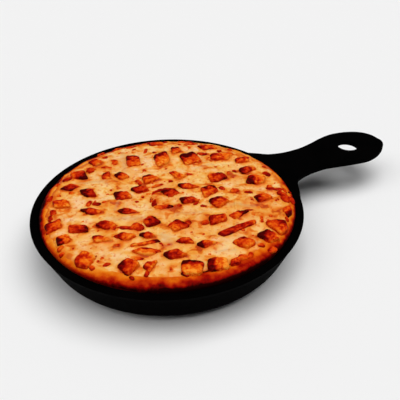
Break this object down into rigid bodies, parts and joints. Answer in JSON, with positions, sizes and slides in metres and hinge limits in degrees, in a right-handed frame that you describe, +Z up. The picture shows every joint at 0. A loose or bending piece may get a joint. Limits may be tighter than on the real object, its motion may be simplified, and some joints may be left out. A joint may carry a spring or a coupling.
{
  "type": "deep dish pizza in a pan",
  "caption": "Round deep dish pizza with melted cheese and browned chicken pieces, baked in a black cast-iron pan with a flat handle.",
  "frame": {"origin": "middle of the pan's flat foot", "axes": "+Z up, +X to the right and +Y away from the viewer as in the picture; the handle points 30 degrees from +X towards +Y"},
  "size_m": [0.2937, 0.22, 0.0397],
  "materials": {
    "cast_iron": "black seasoned cast iron, matt with a faint sheen",
    "baked_crust": "baked dough, golden to dark brown",
    "melted_cheese": "melted pale yellow cheese, slightly glossy, browned in spots",
    "roast_chicken": "roasted orange-brown chicken with dark edges, slightly oily"
  },
  "bodies": {
    "root": {"pan": "cast_iron", "crust": "baked_crust", "cheese": "melted_cheese", "chicken_01": "roast_chicken", "chicken_02": "roast_chicken", "chicken_03": "roast_chicken", "chicken_04": "roast_chicken", "chicken_05": "roast_chicken", "chicken_06": "roast_chicken", "chicken_07": "roast_chicken", "chicken_08": "roast_chicken", "chicken_09": "roast_chicken", "chicken_10": "roast_chicken", "chicken_11": "roast_chicken", "chicken_12": "roast_chicken", "chicken_13": "roast_chicken", "chicken_14": "roast_chicken", "chicken_15": "roast_chicken", "chicken_16": "roast_chicken", "chicken_17": "roast_chicken", "chicken_18": "roast_chicken", "chicken_19": "roast_chicken", "chicken_20": "roast_chicken", "chicken_21": "roast_chicken", "chicken_22": "roast_chicken", "chicken_23": "roast_chicken", "chicken_24": "roast_chicken", "chicken_25": "roast_chicken", "chicken_26": "roast_chicken", "chicken_27": "roast_chicken", "chicken_28": "roast_chicken", "chicken_29": "roast_chicken", "chicken_30": "roast_chicken", "chicken_31": "roast_chicken", "chicken_32": "roast_chicken", "chicken_33": "roast_chicken", "chicken_34": "roast_chicken", "chicken_35": "roast_chicken", "chicken_36": "roast_chicken", "chicken_37": "roast_chicken", "chicken_38": "roast_chicken", "chicken_39": "roast_chicken", "chicken_40": "roast_chicken", "chicken_41": "roast_chicken", "chicken_42": "roast_chicken", "chicken_43": "roast_chicken", "chicken_44": "roast_chicken", "chicken_45": "roast_chicken", "chicken_46": "roast_chicken", "chicken_47": "roast_chicken", "chicken_48": "roast_chicken", "chicken_49": "roast_chicken", "chicken_50": "roast_chicken", "chicken_51": "roast_chicken", "chicken_52": "roast_chicken", "chicken_53": "roast_chicken", "chicken_54": "roast_chicken", "chicken_55": "roast_chicken", "chicken_56": "roast_chicken", "chicken_57": "roast_chicken"}
  },
  "joints": []
}
